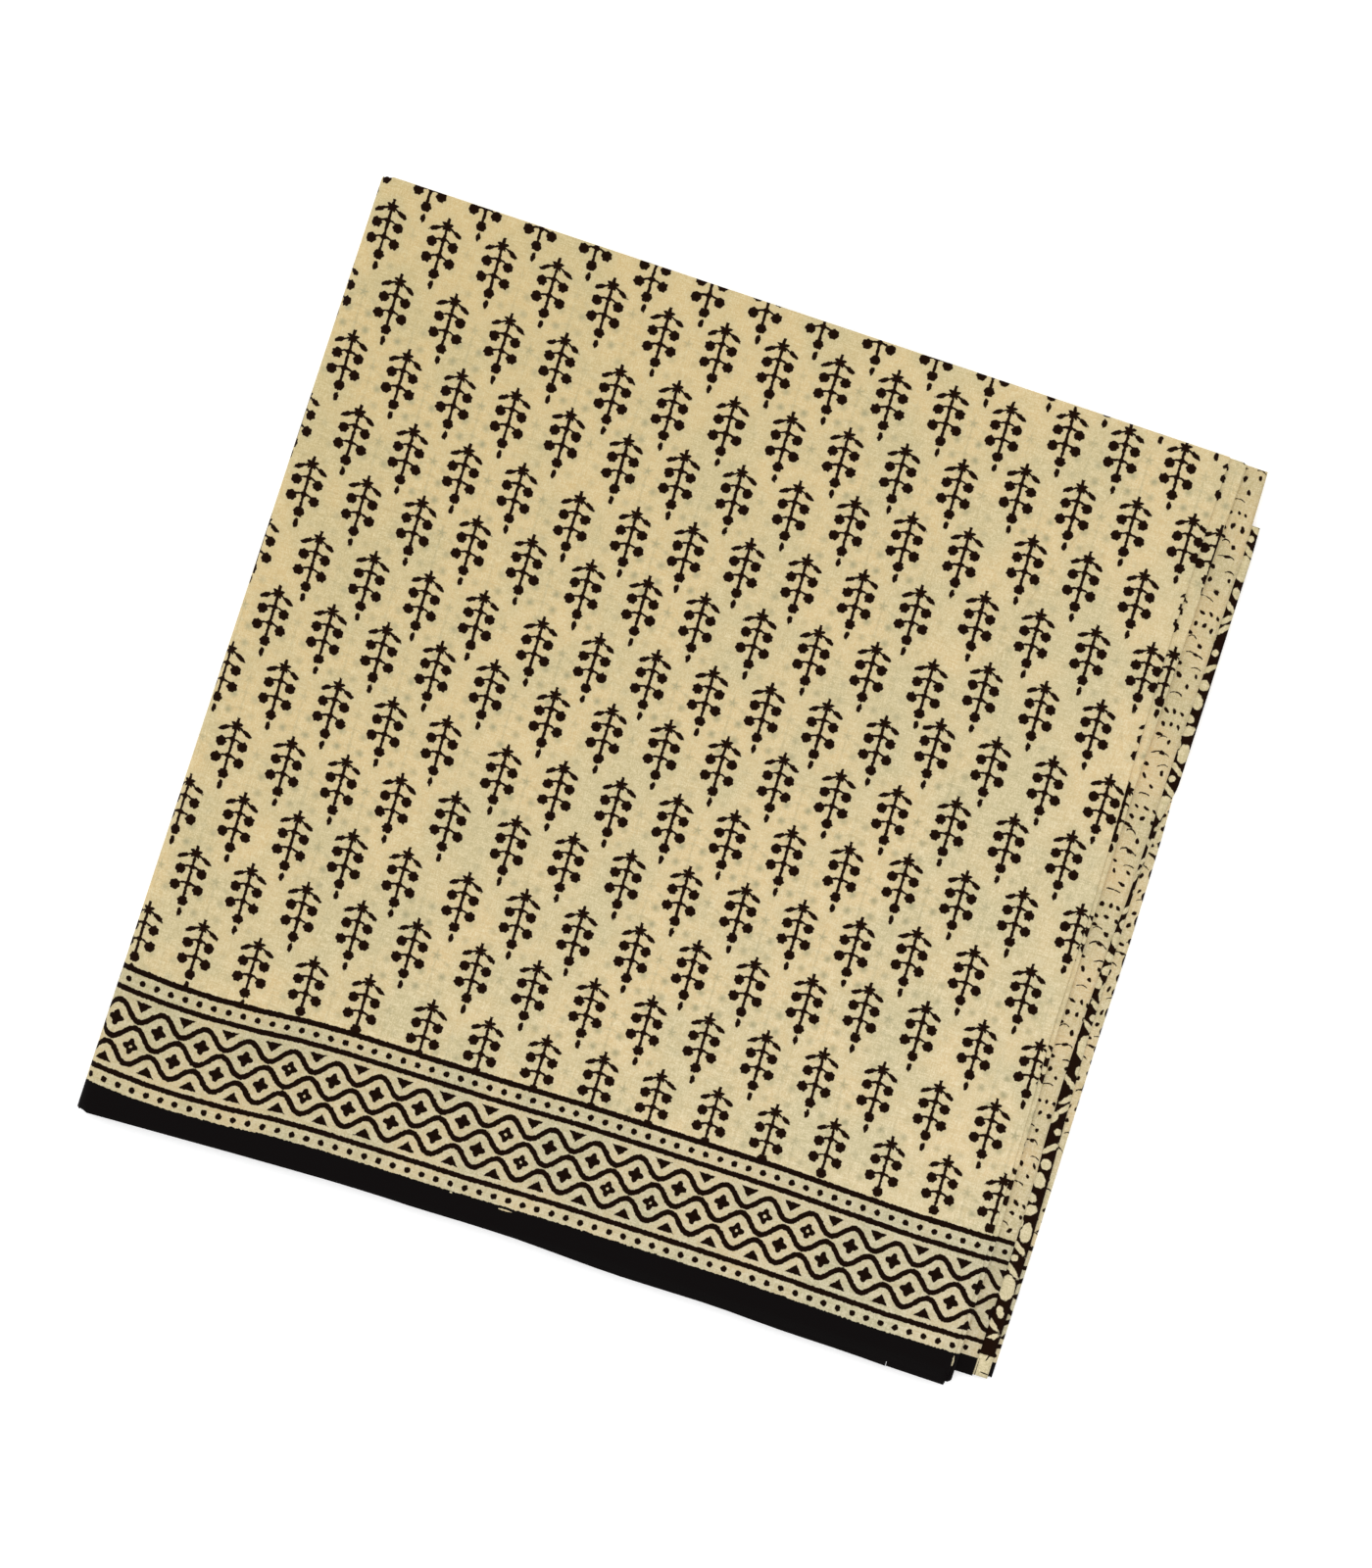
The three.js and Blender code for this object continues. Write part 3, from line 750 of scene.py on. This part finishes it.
def turnOf(fromLayer, toLayer, centre, firstAngle, steps, along):
    radius = abs(heightOf(fromLayer) - heightOf(toLayer)) / 2
    middle = (heightOf(fromLayer) + heightOf(toLayer)) / 2
    stations = []
    for step in range(steps + 1):
        angle = firstAngle + math.pi * step / steps
        out = (math.cos(angle), math.sin(angle))
        def x(fromFold, shift=radius * out[0]):
            return centre(fromFold) + shift
        def place(fromFold, turned=radius * (angle - math.pi / 2)):
            return along(fromFold, turned)
        layer = mix(fromLayer, toLayer, step / steps)
        stations.append({"layer": layer, "x": x, "z": middle + radius * out[1], "out": out, "along": place})
    return stations


def rightTurn(fromLayer, toLayer, edge, steps):
    reach = abs(heightOf(fromLayer) - heightOf(toLayer)) / 2 + pile["wall"] / 2
    centre = lambda fromFold: edge(fromFold) - reach
    along = lambda fromFold, turned: centre(fromFold) - turned
    return centre, turnOf(fromLayer, toLayer, centre, -math.pi / 2, steps, along)


def level(value):
    return lambda fromFold: value


bakeRim = {"unseen": 0.03, "edge": 0.002}


# Shares of a baked picture's side, with little of it for what no one sees
def bakeShares(lengths, seen):
    weighed = [length * (1.0 if shown else bakeRim["unseen"]) for length, shown in zip(lengths, seen)]
    shares = np.cumsum([0.0] + weighed)
    return bakeRim["edge"] + (1 - 2 * bakeRim["edge"]) * shares / shares[-1]


# One piece of doubled cloth: two plies that meet in the fold, along a path round the pile
def foldedCloth(name, path, rows, innerRows=12, noseSteps=5, short=0.0, outerShort=None, rise=None):
    half = pile["plyApart"]
    inset = half + pile["plyThick"] / 2
    points, along, across = [], [], []
    width = rows + 1 + noseSteps - 1 + innerRows + 1
    for station in path:
        front, back = layerEnds(station["layer"], station["x"](pile["length"] / 2), short)
        outerFront = front - (outerShort(station["x"](front)) if outerShort else 0)
        loop = [(mix(outerFront, back + inset, step / rows), half) for step in range(rows + 1)]
        loop = [(f, s, f) for f, s in loop]
        for step in range(1, noseSteps):
            angle = math.pi * step / noseSteps
            loop.append((back + inset - half * math.sin(angle), half * math.cos(angle),
                         (back + inset) * math.cos(angle)))
        for step in range(innerRows + 1):
            f = mix(back + inset, front, step / innerRows)
            loop.append((f, -half, -f))
        for fromFold, side, unrolled in loop:
            fromLeft = station["x"](fromFold) + station["out"][0] * side
            z = settle(fromLeft, fromFold, station["z"] + station["out"][1] * side)
            if rise:
                z += rise(fromLeft, fromFold) * max(station["out"][1], 0)
            points.append((cadBox[0].x + fromLeft * mm, cadBox[1].y - fromFold * mm, z * mm))
            along.append(station["along"](fromFold))
            across.append(unrolled)
    faces = []
    for i in range(len(path) - 1):
        for j in range(width - 1):
            a = i * width + j
            faces.append((a, a + 1, a + width + 1, a + width))
    mesh = bpy.data.meshes.new(name)
    mesh.from_pydata(points, [], faces)
    mesh.polygons.foreach_set("use_smooth", [True] * len(faces))
    middle = [station["along"](pile["length"] / 2) for station in path]
    sideways = bakeShares(np.abs(np.diff(middle)), [not station.get("hidden") for station in path[1:]])
    lengthways = bakeShares(np.abs(np.diff([l[2] for l in loop])), [l[1] > 0 for l in loop[1:]])
    corners = np.array([corner for face in faces for corner in face])
    layer = mesh.uv_layers.new(name="OFBake", do_init=False)
    baked = np.stack([sideways[corners // width], lengthways[corners % width]], 1)
    layer.data.foreach_set("uv", baked.ravel())
    piece = bpy.data.objects.new(name, mesh)
    scene.collection.objects.link(piece)
    return piece, np.array(along), np.array(across)


def thicken(piece):
    wall = piece.modifiers.new("cloth thickness", "SOLIDIFY")
    wall.thickness = pile["plyThick"] * mm
    wall.offset = 0.0


def joined(*stretches):
    path = []
    for stretch in stretches:
        path += stretch if not path else stretch[1:]
    return path


# The cloth beside a crease and its slow waves, which die out towards the edges
ridge = {"wide": 3.4, "swell": 0.45, "lift": 0.35, "waveAlong": 90, "waveAcross": 130}
fade = {"left": 60, "rightEnd": 530, "right": 40, "back": 40, "frontEnd": 575, "front": 50}


def topRise(fromLeft, fromFold):
    nearEdge = min(fromLeft / fade["left"], (fade["rightEnd"] - fromLeft) / fade["right"],
                   fromFold / fade["back"], (fade["frontEnd"] - fromFold) / fade["front"], 1.0)
    if nearEdge <= 0:
        return 0.0
    wave = noise.noise(Vector((fromLeft / ridge["waveAlong"], fromFold / ridge["waveAcross"], 3.0)))
    high = ridge["swell"] * max(wave + ridge["lift"], 0.0)
    for crease in creases:
        turn = math.radians(crease["turn"])
        dx, dy = fromLeft - crease["x"], fromFold - crease["y"]
        share = (dx * math.cos(turn) + dy * math.sin(turn)) / crease["long"]
        if abs(share) < 1:
            off = (dy * math.cos(turn) - dx * math.sin(turn)) / ridge["wide"]
            high += crease["high"] * (1 - share * share) ** 0.5 * math.exp(-off * off)
    return high * nearEdge


topCentre, topTurn = rightTurn(2, 1, edgeOf("first"), 8)
topTurnRadius = (heightOf(1) - heightOf(2)) / 2
returnRun = runOf(2, level(bandStart), topCentre, 5)
for station in returnRun:
    station["hidden"] = True
    station["along"] = (lambda f, x=station["x"]:
                        topCentre(f) + math.pi * topTurnRadius + topCentre(f) - x(f))
topPath = joined(
    returnRun,
    topTurn,
    runOf(1, topCentre, level(leftCentre), 144),
    turnOf(1, 12, level(leftCentre), math.pi / 2, 20, lambda f, turned: leftCentre - turned),
)
topCloth, along, across = foldedCloth("topCloth", topPath, rows=150, rise=topRise,
                                      outerShort=lambda x: np.interp(x, [230, 330, 520], [0.0, 2.6, 4.2]))
regular = stampRows(-300, -470, 4, 12, seed=2)
beneath = {"x": 16.0, "y": 13.0}  # how far off the print of the ply beneath lies
returned = {"drop": 3.2, "rows": 5}  # impressions above the first ones, on the inner ply
shown = [{**stamp, "x": stamp["x"] + beneath["x"], "y": stamp["y"] + beneath["y"]} for stamp in topStamps]
extra = [{**stamp, "y": stamp["y"] + returned["drop"] - block["deep"] * (lift + 1)}
         for stamp in topStamps[:3] for lift in range(returned["rows"])]
layPrint(topCloth.data, along, across, topStamps + extra, shown)
topCloth.data.materials.append(printed)
thicken(topCloth)
print("top cloth is laid")

underSteps = 110
lowCentre, lowTurn = rightTurn(12, 9, edgeOf("lower"), 10)
underPath = joined(
    runOf(12, level(leftCentre), lowCentre, underSteps),
    lowTurn,
    runOf(9, lowCentre, level(bandStart), 6),
)
countedFrom = 600.0  # places on this stretch are counted back from here, as its dark bars are
underCloth, along, across = foldedCloth("underCloth", underPath, rows=115)
underStamps = stampRows(-186, -470, 4, 14, seed=2)
layPrint(underCloth.data, along, across, underStamps, regular, creased=countedFrom - along)
underCloth.data.materials.append(printed)
underCloth.data.materials.append(blouse)
turned = np.zeros(len(underCloth.data.polygons), int)
facesAcross = len(turned) // (len(underPath) - 1)
turned[underSteps * facesAcross:] = 1  # the part round the fold is the start of the plain end
underCloth.data.polygons.foreach_set("material_index", turned)
thicken(underCloth)
print("underside is laid")

# The second fold: four more layers, whose turn shows beside the top layer's
secondCentre, secondTurn = rightTurn(6, 3, edgeOf("second"), 10)
secondPath = joined(runOf(6, level(bandStart), secondCentre, 6), secondTurn,
                    runOf(3, secondCentre, level(bandStart), 14))
secondFold, along, across = foldedCloth("secondFold", secondPath, rows=150)
secondStems = [531.0, 527.4, 526.5, 524.5, 525.5, 527.0]  # where a column of its sprigs stands, row by row
secondStamps = stampRows(532 - 4 * block["across"], 45.5 - block["deep"] * 7, 1, 13, seed=0)
for stamp, stem in zip(secondStamps[7:], secondStems):
    stamp["x"] = stem - 4 * block["across"]
layPrint(secondFold.data, along, across, secondStamps, regular)

insideSecond = lambda fromFold: edgeOf("second")(fromFold) - pile["pitch"]
innerCentre, innerTurn = rightTurn(5, 4, insideSecond, 8)
innerPath = joined(runOf(5, level(bandStart), innerCentre, 4), innerTurn,
                   runOf(4, innerCentre, level(bandStart), 4))
secondFoldInner, along, across = foldedCloth("secondFoldInner", innerPath, rows=60)
layPrint(secondFoldInner.data, along, across, regular, regular)

insideLower = lambda fromFold: edgeOf("lower")(fromFold) - pile["pitch"]
deepCentre, deepTurn = rightTurn(11, 10, insideLower, 8)
deepPath = joined(runOf(11, level(bandStart), deepCentre, 4), deepTurn,
                  runOf(10, deepCentre, level(bandStart), 4))
lowestFoldInner, along, across = foldedCloth("lowestFoldInner", deepPath, rows=60)
layPrint(lowestFoldInner.data, along, across, regular, regular)

# The two free ends of the cloth: the plain end for the blouse, and the pallu under it
blouseEnd, along, across = foldedCloth(
    "blouseEnd", runOf(7, edgeOf("blouse"), level(bandStart), 16), rows=150)
layPrint(blouseEnd.data, along, across, regular, regular)
palluEnd, along, across = foldedCloth(
    "palluEnd", runOf(8, edgeOf("pallu"), level(bandStart), 16), rows=150, short=pile["palluShort"])
layPrint(palluEnd.data, along, across, regular, regular)
blouseEnd.data.materials.append(blouse)
palluEnd.data.materials.append(pallu)
for piece in (secondFold, secondFoldInner, lowestFoldInner):
    piece.data.materials.append(printed)
for piece in (secondFold, secondFoldInner, lowestFoldInner, blouseEnd, palluEnd):
    thicken(piece)
print("folds and free ends are laid")


# The layers inside the pile, each pair wound round the left side: one hairpin of cloth swept along
# the middle of each pair
nest = {
    "plySpacing": 2 * pile["plyApart"], "clothLength": 560.0, "acrossPoints": 26, "turnPoints": 16,
    "runPoints": 30, "printShift": 70.0, "uneven": 0.9, "unevenEvery": 60,
}


def sweptLayers():
    tree, given = newGroup("sweptLayers", [
        ("Geometry", "NodeSocketGeometry"), ("Ply Spacing", "NodeSocketFloat"),
        ("Cloth Length", "NodeSocketFloat"), ("Across Points", "NodeSocketInt"),
        ("Cotton", "NodeSocketMaterial"),
    ], [("Geometry", "NodeSocketGeometry")], "GeometryNodeTree")
    rail = addNode(tree, "GeometryNodeMeshToCurve", given.outputs["Geometry"])
    high = calc(tree, "MULTIPLY", given.outputs["Ply Spacing"], 0.5)
    low = calc(tree, "MULTIPLY", high, -1.0)
    far = calc(tree, "MULTIPLY", given.outputs["Cloth Length"], 0.5)
    near = calc(tree, "MULTIPLY", far, -1.0)
    corners = {}
    for end, x in (("near", near), ("far", far)):
        for side, y in (("high", high), ("low", low)):
            corners[end, side] = addNode(tree, "ShaderNodeCombineXYZ", x, y)
    plies = []
    for start, end in ((("near", "high"), ("far", "high")), (("far", "low"), ("near", "low"))):
        ply = addNode(tree, "GeometryNodeCurvePrimitiveLine",
                      sockets={"Start": corners[start], "End": corners[end]})
        plies.append(addNode(tree, "GeometryNodeResampleCurve",
                             sockets={"Curve": ply, "Count": given.outputs["Across Points"]}))
    arc = addNode(tree, "GeometryNodeCurveArc", sockets={
        "Resolution": 7, "Radius": high, "Start Angle": math.pi / 2, "Sweep Angle": -math.pi})
    foot = addNode(tree, "ShaderNodeCombineXYZ", far)
    arc = addNode(tree, "GeometryNodeTransform", sockets={"Geometry": arc, "Translation": foot})
    hairpin = addNode(tree, "GeometryNodeJoinGeometry")
    for part in (plies[1], arc, plies[0]):
        tree.links.new(part.outputs[0], hairpin.inputs[0])
    cloth = addNode(tree, "GeometryNodeCurveToMesh", sockets={"Curve": rail, "Profile Curve": hairpin})
    cloth = addNode(tree, "GeometryNodeMergeByDistance", sockets={"Geometry": cloth, "Distance": 0.01})
    cloth = addNode(tree, "GeometryNodeSetShadeSmooth", sockets={"Geometry": cloth, "Shade Smooth": True})
    cloth = addNode(tree, "GeometryNodeRealizeInstances", sockets={"Geometry": cloth})
    cloth = addNode(tree, "GeometryNodeSetMaterial",
                    sockets={"Geometry": cloth, "Material": given.outputs["Cotton"]})
    addNode(tree, "NodeGroupOutput", cloth)
    return tree


# Runs a tree on an object and keeps what comes out as its plain mesh
def settleTree(piece, tree, values):
    modifier = piece.modifiers.new(tree.name, "NODES")
    modifier.node_group = tree
    for item in tree.interface.items_tree:
        if item.in_out == "INPUT" and item.name in values:
            modifier[item.identifier] = values[item.name]
    graph = bpy.context.evaluated_depsgraph_get()
    mesh = bpy.data.meshes.new_from_object(piece.evaluated_get(graph))
    piece.modifiers.remove(modifier)
    piece.data = mesh
    mesh.name = piece.name


def innerRail():
    points, edges, layers = [], [], []
    last = bandStart - 0.3
    for upper in range(2, pile["layers"] // 2 + 1):
        lower = pile["layers"] + 1 - upper
        path = joined(
            runOf(upper, level(last), level(leftCentre), nest["runPoints"]),
            turnOf(upper, lower, level(leftCentre), math.pi / 2, nest["turnPoints"], lambda f, turned: 0.0),
            runOf(lower, level(leftCentre), level(last), nest["runPoints"]),
        )
        first = len(points)
        points += [(station["x"](0), 0.0, station["z"]) for station in path]
        layers += [station["layer"] for station in path]
        edges += [(i, i + 1) for i in range(first, len(points) - 1)]
    rail = bpy.data.meshes.new("innerLayers")
    rail.from_pydata(points, edges, [])
    rail.attributes.new("layer", "FLOAT", "POINT").data.foreach_set("value", layers)
    return rail


innerLayers = bpy.data.objects.new("innerLayers", innerRail())
scene.collection.objects.link(innerLayers)
settleTree(innerLayers, sweptLayers(), {
    "Ply Spacing": nest["plySpacing"], "Cloth Length": nest["clothLength"],
    "Across Points": nest["acrossPoints"], "Cotton": printed,
})


# Puts the swept layers in their places: each has its own ends, and the pile's slope
def placeInnerLayers(mesh):
    layers = [item.value for item in mesh.attributes["layer"].data]
    along, across = [], []
    inset = pile["plyApart"] + pile["plyThick"] / 2
    for vertex, layer in zip(mesh.vertices, layers):
        x, y, z = vertex.co
        front, back = layerEnds(layer, x, 0.0)
        front += nest["uneven"] * noise.noise(Vector((x / nest["unevenEvery"], layer * 3.7, 1.0)))
        share = y / nest["clothLength"] + 0.5
        beyond = max(y - nest["clothLength"] / 2, 0.0)
        fromFold = mix(front, back + inset, min(share, 1.0)) - beyond
        along.append(x + nest["printShift"] * noise.noise(Vector((round(layer) * 1.7, 0.3, 0.0))))
        across.append(fromFold)
        vertex.co = (cadBox[0].x + x * mm, cadBox[1].y - fromFold * mm, settle(x, fromFold, z) * mm)
    return np.array(along), np.array(across)


along, across = placeInnerLayers(innerLayers.data)
layPrint(innerLayers.data, along, across, regular, regular)
thicken(innerLayers)
print("inner layers are nested")

studio = {"floorHalf": 4, "floorDrop": 0.0002, "world": 0.86, "softbox": 0.75, "softboxAngle": 50}
floor = bpy.data.objects.new("floor", bpy.data.meshes.new("floor"))
half = studio["floorHalf"]
square = [(-half, -half, 0), (half, -half, 0), (half, half, 0), (-half, half, 0)]
floor.data.from_pydata(square, [], [(0, 1, 2, 3)])
scene.collection.objects.link(floor)
# Matt white sheet, lit from below, so that shadows stay faint
opalAcrylic, tree = newMaterial("opalAcrylic")
sheet = addNode(tree, "ShaderNodeBsdfPrincipled", sockets={
    "Base Color": srgb("#F8F8F8"), "Roughness": 1.0, "Specular IOR Level": 0.0,
    "Emission Color": (1, 1, 1, 1), "Emission Strength": 0.25})
addNode(tree, "ShaderNodeOutputMaterial", sheet)
floor.data.materials.append(opalAcrylic)
floor.location.z = -studio["floorDrop"]

world = bpy.data.worlds.new("studio")
world.use_nodes = True
world.node_tree.nodes["Background"].inputs["Strength"].default_value = studio["world"]
world.node_tree.nodes["Background"].inputs["Color"].default_value = (1, 1, 1, 1)
scene.world = world
softbox = bpy.data.objects.new("softbox", bpy.data.lights.new("softbox", "SUN"))
softbox.data.energy = studio["softbox"]
softbox.data.angle = math.radians(studio["softboxAngle"])
softbox.rotation_euler = Vector((0.55, -0.45, -1.9)).to_track_quat("-Z", "Y").to_euler()
scene.collection.objects.link(softbox)
scene.view_settings.view_transform = "Standard"

# What each piece stands for, the slot of its finish, its cut and what it lies on
dressed = table("piece nodes slot cut on",
    (topCloth, ["outer_stretch"], "printed_cotton", (1.15, 0.573), "innerLayers"),
    (underCloth, ["outer_stretch"], "printed_cotton", (1.15, 0.607), "floor"),
    (secondFold, ["second_fold"], "printed_cotton", (1.15, 0.073), "blouseEnd"),
    (secondFoldInner, ["second_fold_inner"], "printed_cotton", (1.15, 0.069), "secondFold"),
    (blouseEnd, ["blouse_end"], "printed_cotton", (1.15, 0.05), "palluEnd"),
    (palluEnd, ["pallu_end"], "pallu_cotton", (1.09, 0.056), "underCloth"),
    (lowestFoldInner, ["lower_fold_inner"], "printed_cotton", (1.15, 0.113), "underCloth"),
    (innerLayers, ["hidden_layers"], "printed_cotton", (1.15, 4.94), "underCloth"),
)
for row in dressed:
    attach(row["piece"], "root")
    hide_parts(*row["nodes"])
